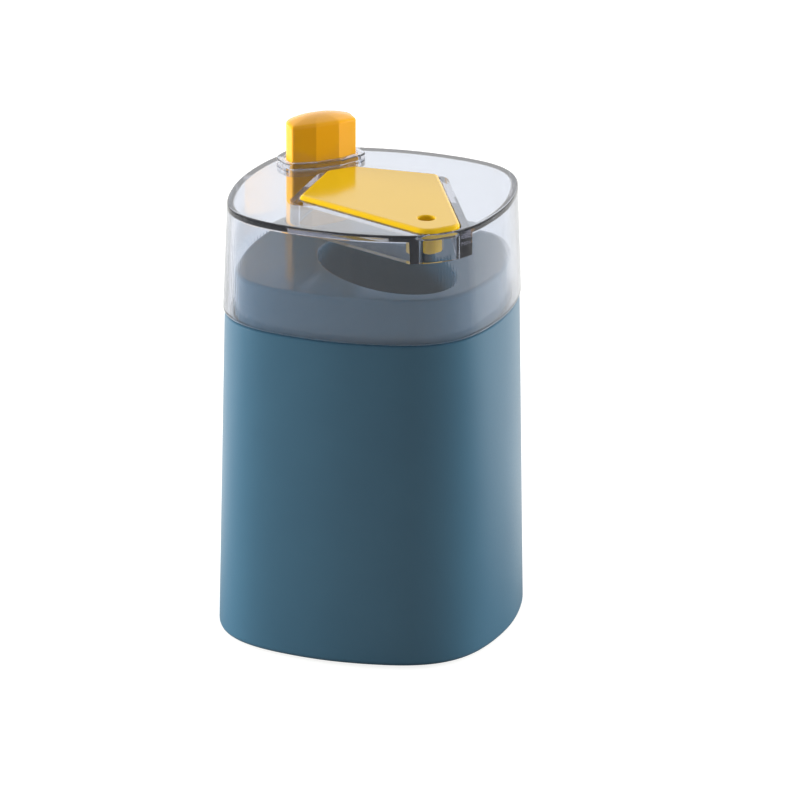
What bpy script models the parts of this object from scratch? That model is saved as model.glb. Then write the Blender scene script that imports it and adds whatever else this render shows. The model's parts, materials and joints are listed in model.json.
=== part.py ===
"""Toothpick dispenser with a push button, a clear lid and a rocker under the toothpick well.

Metres, +Z up. The origin is on the floor under the middle of the base. The sides lie along X and Y,
and the front faces -Y. The button sits in the (-X, +Y) corner and the outlet in the (+X, -Y) corner,
so the mechanism is drawn in the vertical plane of that diagonal: u runs from the middle toward the
outlet, v lies across it.
"""
from math import atan, atan2, cos, hypot, pi, radians, sin, tan

import bmesh
import bpy
from mathutils import Matrix, Vector

MM = 0.001

# Base and body
HALF_WIDTH = 30.0 * MM
SEAM_Z = 68.0 * MM
BODY_TAPER = 1.4 * MM
BODY_WALL = 1.8 * MM
BASE_ROUND = 1.2 * MM
SHOULDER_ROUND = 0.4 * MM
FLOOR_GAP = 0.5 * MM
PLATE_RIM_WALL = 2.4 * MM
PLATE_THICK = 2.2 * MM
PLATE_RECESS = 1.5 * MM
LEDGE_WIDTH = 1.2 * MM
LEDGE_HEIGHT = 1.3 * MM
SKIRT_LEDGE_DEPTH = 8.0 * MM
SWELL_4_share = -0.0454
SWELL_8_share = 0.0055

# Clearances
SEAT_GAP = 0.3 * MM
RUN_GAP = 0.1 * MM
OVERRUN = 2.0 * MM
ROOT_SINK = 0.6 * MM
LEAST_CORNER = 0.3 * MM
MERGE = 0.01 * MM
FLAT_ANGLE = 1.0

# Hopper: neck, deck, toothpick well, button shaft, guides and screw posts
DECK_RISE = 9.0 * MM
DECK_THICK = 1.8 * MM
NECK_WALL = 1.6 * MM
DECK_ROUND = 0.8 * MM
WELL_NOSE_ROOM = 2.8 * MM
WELL_ROD_SPACE = 10.4 * MM
WELL_SIDE_SPACE = 18.2 * MM
WELL_WALL = 1.4 * MM
WELL_FLOOR_Z = 22.0 * MM
WELL_FLOOR_RISE = 7.0 * MM
WELL_FLOOR_THICK = 1.5 * MM
SHAFT_DEPTH = 9.0 * MM
SHAFT_WALL = 1.2 * MM
SHAFT_FLOOR_THICK = 1.5 * MM
GUIDE_RADIUS = 3.6 * MM
GUIDE_LENGTH = 12.0 * MM
SHELF_Z = 40.0 * MM
SHELF_THICK = 2.2 * MM
SHELF_HALF_WIDE = 4.2 * MM
SHELF_RIB_DEPTH = 9.0 * MM
SHELF_RIB_REACH = 6.0 * MM
POST_RADIUS = 3.0 * MM
POST_FRONT_INSET = 8.25 * MM
POST_FRONT_ALONG = 2.0 * MM
POST_BACK_INSET = 8.45 * MM
POST_BACK_ALONG = 6.0 * MM
POST_RIB_THICK = 1.4 * MM
POST_RIB_FOOT_Z = 34.0 * MM

# Screws and feet
SCREW_RADIUS = 1.2 * MM
SCREW_LENGTH = 11.0 * MM
SCREW_TIP = 1.0 * MM
SCREW_HEAD_RADIUS = 2.4 * MM
SCREW_HEAD_HEIGHT = 1.1 * MM
SCREW_HEAD_ROUND = 0.4 * MM
PAD_RADIUS = 4.0 * MM
PAD_CORNER_SPACE = 8.5 * MM
PAD_POCKET = 0.7 * MM
PAD_ROUND = 0.4 * MM

# Lid
LID_HEIGHT = 22.8 * MM
LID_PROUD = 0.3 * MM
LID_TAPER = 0.9 * MM
LID_WALL = 1.2 * MM
LID_TOP_THICK = 1.5 * MM
LID_ROUND = 1.0 * MM
POCKET_DEPTH = 6.0 * MM
POCKET_WALL = 1.7 * MM
POCKET_LEDGE = 0.9 * MM
LIP_WALL = 1.4 * MM
LIP_HEIGHT = 0.9 * MM
LIP_ROUND = 0.3 * MM
SLEEVE_DEPTH = 2.8 * MM
SLEEVE_GAP = 0.5 * MM

# Outlet plate
PLATE_PROUD = 0.8 * MM
OUTLET_THICK = 1.8 * MM
OUTLET_ROUND = 0.5 * MM
OUTLET_BUTTON_SPACE = 5.8 * MM
OUTLET_BACK_HALF = 3.2 * MM
OUTLET_TAIL_LENGTH = 12.3 * MM
OUTLET_HALF_WIDE = 15.7 * MM
OUTLET_NOSE_INSET = 3.24 * MM
OUTLET_NOSE_HALF = 4.0 * MM
OUTLET_BACK_RADIUS = 2.0 * MM
OUTLET_SIDE_RADIUS = 1.2 * MM
OUTLET_NOSE_RADIUS = 3.4 * MM
OUTLET_HOLE_SPACE = 7.1 * MM
OUTLET_HOLE_RADIUS = 1.7 * MM
OUTLET_BOSS_RADIUS = 3.2 * MM
OUTLET_BOSS_LENGTH = 4.6 * MM
OUTLET_FUNNEL_DEPTH = 1.6 * MM
OUTLET_FUNNEL_GROWTH = 0.6 * MM

# Push button and its rod
BUTTON_CORNER_INSET = 5.34 * MM
BUTTON_LENGTH = 7.6 * MM
BUTTON_FACET_HALF = 2.6 * MM
BUTTON_FACET_DEPTH = 1.4 * MM
BUTTON_HALF_WIDE = 7.3 * MM
BUTTON_HIP_DEPTH = 2.3 * MM
BUTTON_BACK_HALF = 4.0 * MM
BUTTON_CORNER_RADIUS = 0.5 * MM
BUTTON_BACK_RADIUS = 3.5 * MM
BUTTON_TOP_ROUND = 3.0 * MM
BUTTON_WALL = 1.4 * MM
BUTTON_RISE = 9.8 * MM
BUTTON_FOOT_ROOM = 1.0 * MM
ROD_BACK_SPACE = 3.8 * MM
ROD_RADIUS = 2.0 * MM
COLLAR_RADIUS = 3.4 * MM
COLLAR_THICK = 2.2 * MM
TONGUE_THICK = 2.4 * MM

# Return spring
SPRING_MEAN_RADIUS = 2.95 * MM
SPRING_WIRE_RADIUS = 0.35 * MM
SPRING_TURNS = 8
SPRING_POINTS_PER_TURN = 9

# Rocker, lifter and pins
PRESS_TRAVEL = 6.5 * MM
LIFT_TRAVEL = 10.5 * MM
LIFTER_RADIUS = 1.0 * MM
LIFTER_REST_Z = 6.6 * MM
FOOT_HALF_LONG = 1.9 * MM
FOOT_HALF_TALL = 1.5 * MM
LEVER_HALF_WIDE = 3.1 * MM
LEVER_HUB_RADIUS = 3.4 * MM
LEVER_END_RADIUS = 1.65 * MM
LEVER_FORK_DEPTH = 4.6 * MM
LEVER_TRIM = 1.0 * MM
PIVOT_PIN_RADIUS = 1.5 * MM
CROSS_PIN_RADIUS = 0.75 * MM
EAR_THICK = 2.4 * MM
EAR_FOOT_HALF = 8.0 * MM
EAR_TOP_RADIUS = 3.4 * MM

# Counts of facets
SQUARE_FACETS = 64
OVAL_FACETS = 40
ROUND_FACETS = 20
SMALL_FACETS = 12
CORNER_STEPS = 3
FILLET_STEPS = 3
HUB_ARC = 60

# Derived heights
PLATE_BOTTOM_Z = FLOOR_GAP + PLATE_RECESS
PLATE_TOP_Z = PLATE_BOTTOM_Z + PLATE_THICK
DECK_Z = SEAM_Z + DECK_RISE
DECK_UNDER_Z = DECK_Z - DECK_THICK
SKIRT_LEDGE_Z = SEAM_Z - SKIRT_LEDGE_DEPTH
RIM_Z = SEAM_Z + LID_HEIGHT
LID_FOOT_Z = SEAM_Z + SEAT_GAP
POCKET_FOOT_Z = RIM_Z - POCKET_DEPTH
SLEEVE_FOOT_Z = RIM_Z - SLEEVE_DEPTH
LIP_Z = RIM_Z + LIP_HEIGHT
OUTLET_TOP_Z = RIM_Z + PLATE_PROUD
OUTLET_UNDER_Z = OUTLET_TOP_Z - OUTLET_THICK
BUTTON_TOP_Z = RIM_Z + BUTTON_RISE
SHAFT_FLOOR_Z = DECK_Z - SHAFT_DEPTH
BUTTON_FOOT_Z = SHAFT_FLOOR_Z + PRESS_TRAVEL + BUTTON_FOOT_ROOM
BUTTON_CEILING_Z = BUTTON_TOP_Z - BUTTON_WALL
GUIDE_FOOT_Z = DECK_UNDER_Z - GUIDE_LENGTH
SHELF_TOP_Z = SHELF_Z + SHELF_THICK
COLLAR_TOP_Z = GUIDE_FOOT_Z - SEAT_GAP
COLLAR_FOOT_Z = COLLAR_TOP_Z - COLLAR_THICK
POST_FOOT_Z = PLATE_TOP_Z + SEAT_GAP

# Derived places in the diagonal plane, from the outlet's corner of the base outline to the button's
CORNER_REACH = HALF_WIDTH * (1 - SWELL_4_share + SWELL_8_share) / (1 + SWELL_4_share + SWELL_8_share)
OUTLET_NOSE_U = CORNER_REACH - OUTLET_NOSE_INSET
LIFTER_U = OUTLET_NOSE_U - OUTLET_HOLE_SPACE
BUTTON_BACK_U = BUTTON_CORNER_INSET - CORNER_REACH
BUTTON_HIP_U = BUTTON_BACK_U + BUTTON_HIP_DEPTH
BUTTON_FRONT_U = BUTTON_BACK_U + BUTTON_LENGTH
BUTTON_SIDE_U = BUTTON_FRONT_U - BUTTON_FACET_DEPTH
ROD_U = BUTTON_BACK_U + ROD_BACK_SPACE
OUTLET_BACK_U = BUTTON_FRONT_U + OUTLET_BUTTON_SPACE
OUTLET_WIDE_U = OUTLET_BACK_U + OUTLET_TAIL_LENGTH
WELL_NOSE_U = LIFTER_U + WELL_NOSE_ROOM
WELL_FAR_U = ROD_U + WELL_ROD_SPACE
WELL_CENTRE_U = (WELL_NOSE_U + WELL_FAR_U) / 2
WELL_HALF_LONG = (WELL_NOSE_U - WELL_FAR_U) / 2
WELL_HALF_WIDE = HALF_WIDTH - WELL_SIDE_SPACE

# Derived insets from the base outline, which is HALF_WIDTH out from the middle
MOUTH_INSET = BODY_TAPER + BODY_WALL
NECK_INSET = MOUTH_INSET + SEAT_GAP
NECK_INNER_INSET = NECK_INSET + NECK_WALL
LID_FOOT_INSET = BODY_TAPER - LID_PROUD
LID_TOP_INSET = LID_FOOT_INSET + LID_TAPER
BASE_PLATE_INSET = PLATE_RIM_WALL + SEAT_GAP

# Derived lever geometry: the pins stay in line with the rods, so the arms share one tilt
LEVER_RATIO = LIFT_TRAVEL / PRESS_TRAVEL
PIVOT_U = (LIFTER_U + LEVER_RATIO * ROD_U) / (1 + LEVER_RATIO)
PIVOT_Z = LIFTER_REST_Z + LIFT_TRAVEL / 2
LONG_ARM = LIFTER_U - PIVOT_U
SHORT_ARM = PIVOT_U - ROD_U
REST_TILT = atan(LIFT_TRAVEL / 2 / LONG_ARM)
ROD_PIN_Z = PIVOT_Z + SHORT_ARM * tan(REST_TILT)
TONGUE_GAP = TONGUE_THICK + 2 * SEAT_GAP

# Places on X and Y, each post with its mirror image in the diagonal plane
DIAGONAL = radians(-45)
POST_FRONT_X = HALF_WIDTH - POST_FRONT_INSET
POST_BACK_Y = HALF_WIDTH - POST_BACK_INSET
POSTS = [(POST_FRONT_X, POST_FRONT_ALONG), (-POST_FRONT_ALONG, -POST_FRONT_X),
         (POST_BACK_ALONG, POST_BACK_Y), (-POST_BACK_Y, -POST_BACK_ALONG)]
PAD_PLACE = (CORNER_REACH - PAD_CORNER_SPACE) * cos(DIAGONAL)
PADS = [(PAD_PLACE, PAD_PLACE), (PAD_PLACE, -PAD_PLACE), (-PAD_PLACE, PAD_PLACE), (-PAD_PLACE, -PAD_PLACE)]


def clear_scene():
    for obj in list(bpy.data.objects):
        bpy.data.objects.remove(obj, do_unlink=True)
    for group in list(bpy.data.collections):
        bpy.data.collections.remove(group)


def new_collection(name):
    group = bpy.data.collections.new(name)
    bpy.context.scene.collection.children.link(group)
    return group


clear_scene()
PARTS = new_collection("toothpick_dispenser")
CUTTERS = new_collection("cutters")


def material(name, color, roughness, metallic=0.0, alpha=1.0):
    made = bpy.data.materials.new(name)
    made.use_nodes = True
    shader = made.node_tree.nodes["Principled BSDF"]
    shader.inputs["Base Color"].default_value = (*color, 1.0)
    shader.inputs["Roughness"].default_value = roughness
    shader.inputs["Metallic"].default_value = metallic
    shader.inputs["Alpha"].default_value = alpha
    made.diffuse_color = (*color, alpha)
    return made


BLUE = material("blue_plastic", (0.05, 0.13, 0.20), 0.45)
YELLOW = material("yellow_plastic", (0.80, 0.50, 0.09), 0.2)
CLEAR = material("smoke_clear_plastic", (0.75, 0.77, 0.80), 0.05, alpha=0.35)
WHITE = material("white_plastic", (0.80, 0.80, 0.78), 0.4)
STEEL = material("steel", (0.55, 0.55, 0.56), 0.3, metallic=1.0)
RUBBER = material("dark_rubber", (0.03, 0.03, 0.03), 0.8)


# Outlines and profiles

def rounded_square(inset):
    """The base outline moved in by inset: a square with bowed sides and wide corners."""
    mean = HALF_WIDTH / (1 + SWELL_4_share + SWELL_8_share)
    points = []
    for i in range(SQUARE_FACETS):
        a = 2 * pi * i / SQUARE_FACETS
        r = mean * (1 + SWELL_4_share * cos(4 * a) + SWELL_8_share * cos(8 * a))
        slope = -mean * (4 * SWELL_4_share * sin(4 * a) + 8 * SWELL_8_share * sin(8 * a))
        tangent = Vector((slope * cos(a) - r * sin(a), slope * sin(a) + r * cos(a))).normalized()
        points.append((r * cos(a) - inset * tangent.y, r * sin(a) + inset * tangent.x))
    return points


def ellipse(growth):
    """The well's oval in the diagonal plane, grown by a wall."""
    half_long = WELL_HALF_LONG + growth
    half_wide = WELL_HALF_WIDE + growth
    angles = [2 * pi * i / OVAL_FACETS for i in range(OVAL_FACETS)]
    return [(WELL_CENTRE_U + half_long * cos(a), half_wide * sin(a)) for a in angles]


def rounded_polygon(corners, radii, growth):
    """A convex outline, given anticlockwise, grown outward by growth, with its corners rounded."""
    count = len(corners)
    points = []
    for i in range(count):
        corner = Vector(corners[i])
        before = (corner - Vector(corners[i - 1])).normalized()
        after = (Vector(corners[(i + 1) % count]) - corner).normalized()
        normal_in = Vector((before.y, -before.x))
        normal_out = Vector((after.y, -after.x))
        middle = (normal_in + normal_out).normalized()
        half_turn_cos = middle.dot(normal_in)
        reach = max(radii[i] + growth, LEAST_CORNER)
        centre = corner + middle * ((growth - reach) / half_turn_cos)
        start = atan2(normal_in.y, normal_in.x)
        turn = atan2(before.cross(after), before.dot(after))
        for k in range(CORNER_STEPS + 1):
            a = start + turn * k / CORNER_STEPS
            points.append((centre.x + reach * cos(a), centre.y + reach * sin(a)))
    return points


def both_sides(half):
    """Corners given for v >= 0 from the +u end, repeated for v < 0."""
    return half + [(u, -v) for u, v in reversed(half)]


def outlet_outline(growth):
    half = [(OUTLET_NOSE_U, OUTLET_NOSE_HALF), (OUTLET_WIDE_U, OUTLET_HALF_WIDE),
            (OUTLET_BACK_U, OUTLET_BACK_HALF)]
    radii = [OUTLET_NOSE_RADIUS, OUTLET_SIDE_RADIUS, OUTLET_BACK_RADIUS]
    return rounded_polygon(both_sides(half), radii + radii[::-1], growth)


def button_outline(growth):
    half = [(BUTTON_FRONT_U, BUTTON_FACET_HALF), (BUTTON_SIDE_U, BUTTON_HALF_WIDE),
            (BUTTON_HIP_U, BUTTON_HALF_WIDE), (BUTTON_BACK_U, BUTTON_BACK_HALF)]
    radii = [BUTTON_CORNER_RADIUS, BUTTON_CORNER_RADIUS, BUTTON_BACK_RADIUS, BUTTON_BACK_RADIUS]
    return rounded_polygon(both_sides(half), radii + radii[::-1], growth)


def sleeve_outline(growth):
    return button_outline(SLEEVE_GAP + LIP_WALL + growth)


def fillet(centre, radius, start, end):
    """Points of an arc in the (inset, z) plane, angles in degrees."""
    points = []
    for k in range(FILLET_STEPS + 1):
        a = radians(start + (end - start) * k / FILLET_STEPS)
        points.append((centre[0] + radius * cos(a), centre[1] + radius * sin(a)))
    return points


# Ways of making a solid

def new_object(name, mesh, group, finish=None):
    obj = bpy.data.objects.new(name, mesh)
    group.objects.link(obj)
    if group is CUTTERS:
        obj.hide_render = True
        obj.display_type = 'WIRE'
    if finish:
        mesh.materials.clear()
        mesh.materials.append(finish)
    return obj


def loft(name, rings, group, finish=None, hoop=False):
    """Skin a stack of rings: a hoop joins the last ring to the first, otherwise both ends are capped."""
    bm = bmesh.new()
    loops = [[bm.verts.new(p) for p in ring] for ring in rings]
    pairs = list(zip(loops, loops[1:]))
    if hoop:
        pairs.append((loops[-1], loops[0]))
    else:
        bm.faces.new(loops[0])
        bm.faces.new(loops[-1])
    for lower, upper in pairs:
        for i in range(len(lower)):
            j = (i + 1) % len(lower)
            bm.faces.new((lower[i], lower[j], upper[j], upper[i]))
    bmesh.ops.recalc_face_normals(bm, faces=bm.faces)
    mesh = bpy.data.meshes.new(name)
    bm.to_mesh(mesh)
    bm.free()
    return new_object(name, mesh, group, finish)


def sweep(name, outline, profile, group, finish=None, hoop=False):
    """Carry an (inset, z) profile round an outline that takes the inset."""
    rings = [[(x, y, z) for x, y in outline(inset)] for inset, z in profile]
    return loft(name, rings, group, finish, hoop)


def plate(name, points, low, high, group, finish=None):
    """A flat outline as a filled 2D curve, extruded from low to high and made a mesh."""
    curve = bpy.data.curves.new(name + "_outline", 'CURVE')
    curve.dimensions = '2D'
    curve.fill_mode = 'BOTH'
    curve.extrude = (high - low) / 2
    spline = curve.splines.new('POLY')
    corners = [Vector(p) for p in points]
    apart = [p for k, p in enumerate(corners) if (p - corners[k - 1]).length > MERGE]
    spline.points.add(len(apart) - 1)
    for point, (x, y) in zip(spline.points, apart):
        point.co = (x, y, 0, 1)
    spline.use_cyclic_u = True
    return curve_to_mesh(name, curve, (low + high) / 2, group, finish)


def curve_to_mesh(name, curve, lift, group, finish):
    """Weld a curve's caps into one closed mesh, lifted along its own Z."""
    holder = bpy.data.objects.new(name + "_curve", curve)
    bpy.context.scene.collection.objects.link(holder)
    bpy.context.view_layer.update()
    mesh = bpy.data.meshes.new_from_object(holder.evaluated_get(bpy.context.evaluated_depsgraph_get()))
    bpy.data.objects.remove(holder)
    bm = bmesh.new()
    bm.from_mesh(mesh)
    bmesh.ops.remove_doubles(bm, verts=bm.verts, dist=MERGE)
    bmesh.ops.dissolve_limit(bm, angle_limit=radians(FLAT_ANGLE), verts=bm.verts, edges=bm.edges)
    bmesh.ops.recalc_face_normals(bm, faces=bm.faces)
    bmesh.ops.translate(bm, verts=bm.verts, vec=(0, 0, lift))
    bm.to_mesh(mesh)
    bm.free()
    mesh.name = name
    return new_object(name, mesh, group, finish)


def cone(name, low_radius, high_radius, low, high, group, finish=None, facets=ROUND_FACETS):
    """A primitive cone, cut off flat, along its own Z from low to high."""
    bm = bmesh.new()
    bmesh.ops.create_cone(bm, cap_ends=True, segments=facets, radius1=low_radius, radius2=high_radius,
                          depth=high - low)
    bmesh.ops.translate(bm, verts=bm.verts, vec=(0, 0, (low + high) / 2))
    mesh = bpy.data.meshes.new(name)
    bm.to_mesh(mesh)
    bm.free()
    return new_object(name, mesh, group, finish)


def cylinder(name, radius, low, high, group, finish=None, facets=ROUND_FACETS):
    return cone(name, radius, radius, low, high, group, finish, facets)


def block(name, half_u, half_v, low, high, group, finish=None):
    """A primitive box standing from low to high on its own Z."""
    bm = bmesh.new()
    bmesh.ops.create_cube(bm, size=1)
    bmesh.ops.scale(bm, verts=bm.verts, vec=(2 * half_u, 2 * half_v, high - low))
    bmesh.ops.translate(bm, verts=bm.verts, vec=(0, 0, (low + high) / 2))
    mesh = bpy.data.meshes.new(name)
    bm.to_mesh(mesh)
    bm.free()
    return new_object(name, mesh, group, finish)


def turned(name, profile, facets, group, finish):
    """A profile revolved about Z with a Screw modifier; it runs down its outer side."""
    mesh = bpy.data.meshes.new(name)
    edges = [(i, i + 1) for i in range(len(profile) - 1)]
    mesh.from_pydata([(r, 0, z) for r, z in profile], edges, [])
    obj = new_object(name, mesh, group, finish)
    screw = obj.modifiers.new("Turn", 'SCREW')
    screw.angle = 2 * pi
    screw.steps = facets
    screw.render_steps = facets
    screw.use_merge_vertices = True
    screw.merge_threshold = MERGE
    return obj


# Placing in the diagonal plane

def stand(obj, u=0.0, v=0.0):
    """Turn a piece's own X and Y to the diagonal's u and v, and stand it at (u, v)."""
    turn = Matrix.Rotation(DIAGONAL, 4, 'Z')
    obj.matrix_world = turn @ Matrix.Translation((u, v, 0))
    return obj


def stand_square(obj, x, y):
    """Stand a piece at (x, y), its own axes along the body's sides."""
    obj.matrix_world = Matrix.Translation((x, y, 0))
    return obj


def across(obj, u, z, tilt=0.0):
    """Lay a piece's own X along u, its own Y up and its own Z across the diagonal, then tilt it."""
    turn = Matrix.Rotation(DIAGONAL, 4, 'Z')
    lay = Matrix.Rotation(pi / 2, 4, 'X')
    obj.matrix_world = turn @ Matrix.Translation((u, 0, z)) @ lay @ Matrix.Rotation(tilt, 4, 'Z')
    return obj


def combine(obj, other, operation):
    made = obj.modifiers.new(operation.title(), 'BOOLEAN')
    made.operation = operation
    made.object = other
    made.solver = 'EXACT'


def join(obj, *others):
    for other in others:
        combine(obj, other, 'UNION')


def cut(obj, *others):
    for other in others:
        combine(obj, other, 'DIFFERENCE')


def slab(name, outline, low, high, rounding, group, finish=None):
    """An outline that takes a growth, as a slab with a rounded top edge."""
    profile = [(0, low)] + fillet((rounding, high - rounding), rounding, 180, 90)
    rings = [[(x, y, z) for x, y in outline(-inset)] for inset, z in profile]
    return loft(name, rings, group, finish)


def smooth(obj, angle=35):
    obj.data.shade_smooth()
    obj.data.set_sharp_from_angle(angle=radians(angle))


# Body shell

def outer_inset(z):
    """How far the body's tapering side stands inside the base outline."""
    return BODY_TAPER * (z - FLOOR_GAP) / (SEAM_Z - FLOOR_GAP)


def make_body_shell():
    ledge_inset = NECK_INSET + LEDGE_WIDTH
    plate_ledge_z = PLATE_TOP_Z + SEAT_GAP
    plate_ledge_inset = PLATE_RIM_WALL + LEDGE_WIDTH
    ledge_foot = SKIRT_LEDGE_Z - LEDGE_HEIGHT
    ledge_root = ledge_foot - ledge_inset + outer_inset(ledge_foot) + BODY_WALL
    rib_top = plate_ledge_z + LEDGE_HEIGHT
    rib_root = rib_top + plate_ledge_inset - BODY_WALL
    profile = fillet((BASE_ROUND, FLOOR_GAP + BASE_ROUND), BASE_ROUND, 270, 180)
    shoulder = (BODY_TAPER + SHOULDER_ROUND, SEAM_Z - SHOULDER_ROUND)
    profile += fillet(shoulder, SHOULDER_ROUND, 180, 90)
    profile += [(MOUTH_INSET, SEAM_Z), (MOUTH_INSET, SKIRT_LEDGE_Z), (ledge_inset, SKIRT_LEDGE_Z)]
    profile += [(ledge_inset, ledge_foot), (outer_inset(ledge_root) + BODY_WALL, ledge_root)]
    profile += [(outer_inset(rib_root) + BODY_WALL, rib_root), (plate_ledge_inset, rib_top)]
    profile += [(plate_ledge_inset, plate_ledge_z), (PLATE_RIM_WALL, plate_ledge_z)]
    profile += [(PLATE_RIM_WALL, FLOOR_GAP)]
    body = sweep("body_shell", rounded_square, profile, PARTS, BLUE, hoop=True)
    smooth(body)


# Base plate with the rocker's two ears

def make_base_plate():
    profile = [(BASE_PLATE_INSET, PLATE_BOTTOM_Z), (BASE_PLATE_INSET, PLATE_TOP_Z)]
    base = sweep("base_plate", rounded_square, profile, PARTS, BLUE)
    ear_foot = PLATE_TOP_Z - ROOT_SINK - PIVOT_Z
    ear_corners = [(-EAR_FOOT_HALF, ear_foot), (EAR_FOOT_HALF, ear_foot),
                   (EAR_TOP_RADIUS, EAR_TOP_RADIUS), (-EAR_TOP_RADIUS, EAR_TOP_RADIUS)]
    ear_outline = rounded_polygon(ear_corners, [ROOT_SINK, ROOT_SINK, EAR_TOP_RADIUS, EAR_TOP_RADIUS], 0)
    near = LEVER_HALF_WIDE + SEAT_GAP
    for side, low in (("left", near), ("right", -near - EAR_THICK)):
        ear = plate("ear_" + side, ear_outline, low, low + EAR_THICK, CUTTERS)
        join(base, across(ear, PIVOT_U, PIVOT_Z))
    reach = near + EAR_THICK + OVERRUN
    bore = cylinder("ear_bore", PIVOT_PIN_RADIUS + RUN_GAP, -reach, reach, CUTTERS)
    cut(base, across(bore, PIVOT_U, PIVOT_Z))
    above = PLATE_TOP_Z + OVERRUN
    for k, (x, y) in enumerate(POSTS):
        hole = cylinder("screw_hole_%d" % k, SCREW_RADIUS + SEAT_GAP, FLOOR_GAP, above, CUTTERS)
        cut(base, stand_square(hole, x, y))
    pocket_top = PLATE_BOTTOM_Z + PAD_POCKET
    for k, (x, y) in enumerate(PADS):
        pocket = cylinder("pad_pocket_%d" % k, PAD_RADIUS + SEAT_GAP, FLOOR_GAP, pocket_top, CUTTERS)
        cut(base, stand_square(pocket, x, y))
    smooth(base)


def make_screws_and_pads():
    head_top = PLATE_BOTTOM_Z - SEAT_GAP
    head_foot = head_top - SCREW_HEAD_HEIGHT
    tip = head_top + SCREW_LENGTH
    profile = [(0, tip), (SCREW_RADIUS / 2, tip), (SCREW_RADIUS, tip - SCREW_TIP), (SCREW_RADIUS, head_top),
               (SCREW_HEAD_RADIUS, head_top), (SCREW_HEAD_RADIUS, head_foot + SCREW_HEAD_ROUND),
               (SCREW_HEAD_RADIUS - SCREW_HEAD_ROUND, head_foot), (0, head_foot)]
    for k, (x, y) in enumerate(POSTS):
        screw = turned("base_screw_%d" % (k + 1), profile, SMALL_FACETS, PARTS, STEEL)
        stand_square(screw, x, y)
    pad_top = PLATE_BOTTOM_Z + PAD_POCKET - SEAT_GAP
    profile = [(0, pad_top), (PAD_RADIUS, pad_top), (PAD_RADIUS, PAD_ROUND)]
    profile += [(PAD_RADIUS - PAD_ROUND, 0), (0, 0)]
    for k, (x, y) in enumerate(PADS):
        pad = turned("foot_pad_%d" % (k + 1), profile, ROUND_FACETS, PARTS, RUBBER)
        stand_square(pad, x, y)


# Hopper

def well_floor(u):
    """Height of the sloping floor, lowest at the lifter's end."""
    far = WELL_CENTRE_U + WELL_HALF_LONG - u
    return WELL_FLOOR_Z + WELL_FLOOR_RISE * far / (2 * WELL_HALF_LONG)


def make_hopper():
    skirt_foot = SKIRT_LEDGE_Z + SEAT_GAP
    profile = [(NECK_INNER_INSET, DECK_UNDER_Z), (NECK_INNER_INSET, skirt_foot), (NECK_INSET, skirt_foot)]
    profile += fillet((NECK_INSET + DECK_ROUND, DECK_Z - DECK_ROUND), DECK_ROUND, 180, 90)
    hopper = sweep("hopper", rounded_square, profile, PARTS, BLUE)
    root = DECK_Z - ROOT_SINK
    outer = ellipse(WELL_WALL)
    tub_foot = [(u, v, well_floor(u) - WELL_FLOOR_THICK) for u, v in outer]
    tub_rings = [tub_foot, [(u, v, root) for u, v in outer]]
    join(hopper, stand(loft("tub", tub_rings, CUTTERS)))
    join(hopper, button_shaft(root))
    guide = cylinder("rod_guide", GUIDE_RADIUS, GUIDE_FOOT_Z, SHAFT_FLOOR_Z - ROOT_SINK, CUTTERS)
    join(hopper, stand(guide, ROD_U))
    add_shelf(hopper)
    for k, (x, y) in enumerate(POSTS):
        post = cylinder("post_%d" % k, POST_RADIUS, POST_FOOT_Z, root, CUTTERS)
        join(hopper, stand_square(post, x, y), post_rib("post_rib_%d" % k, x, y, root))
    inner = ellipse(0)
    above = DECK_Z + OVERRUN
    well_rings = [[(u, v, well_floor(u)) for u, v in inner], [(u, v, above) for u, v in inner]]
    cut(hopper, stand(loft("well", well_rings, CUTTERS)))
    room = plate("shaft_room", button_outline(SEAT_GAP), SHAFT_FLOOR_Z, above, CUTTERS)
    cut(hopper, stand(room))
    rod_bore = cylinder("rod_bore", ROD_RADIUS + RUN_GAP, SHELF_Z - OVERRUN, above, CUTTERS)
    cut(hopper, stand(rod_bore, ROD_U))
    bore_low = WELL_FLOOR_Z - WELL_FLOOR_THICK - OVERRUN
    bore_high = WELL_FLOOR_Z + OVERRUN
    lifter_bore = cylinder("lifter_bore", LIFTER_RADIUS + RUN_GAP, bore_low, bore_high, CUTTERS)
    cut(hopper, stand(lifter_bore, LIFTER_U))
    reach = PLATE_BOTTOM_Z - SEAT_GAP + SCREW_LENGTH + OVERRUN
    for k, (x, y) in enumerate(POSTS):
        name = "pilot_%d" % k
        pilot = cylinder(name, SCREW_RADIUS + RUN_GAP, PLATE_TOP_Z, reach, CUTTERS, facets=SMALL_FACETS)
        cut(hopper, stand_square(pilot, x, y))
    smooth(hopper)


def button_shaft(top):
    """The box under the deck that the button's skirt slides in, kept inside the neck's outer face."""
    foot = SHAFT_FLOOR_Z - SHAFT_FLOOR_THICK
    shaft = plate("button_shaft", button_outline(SEAT_GAP + SHAFT_WALL), foot, top, CUTTERS)
    stand(shaft)
    bound_inset = NECK_INSET + ROOT_SINK
    bound = sweep("shaft_bound", rounded_square, [(bound_inset, SHELF_Z), (bound_inset, DECK_Z)], CUTTERS)
    combine(shaft, bound, 'INTERSECT')
    return shaft


def post_rib(name, x, y, top):
    """A fin from a screw post to the tub's wall, pointing at the middle of the well."""
    centre = Vector((WELL_CENTRE_U * cos(DIAGONAL), WELL_CENTRE_U * sin(DIAGONAL)))
    reach = Vector((x, y)) - centre
    heading = atan2(reach.y, reach.x)
    a = heading - DIAGONAL
    tub_radius = 1 / hypot(cos(a) / WELL_HALF_LONG, sin(a) / WELL_HALF_WIDE)
    half = (reach.length - tub_radius) / 2
    rib = block(name, half, POST_RIB_THICK / 2, POST_RIB_FOOT_Z, top, CUTTERS)
    middle = centre + reach.normalized() * (tub_radius + half)
    rib.matrix_world = Matrix.Translation((*middle, 0)) @ Matrix.Rotation(heading, 4, 'Z')
    return rib


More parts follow.
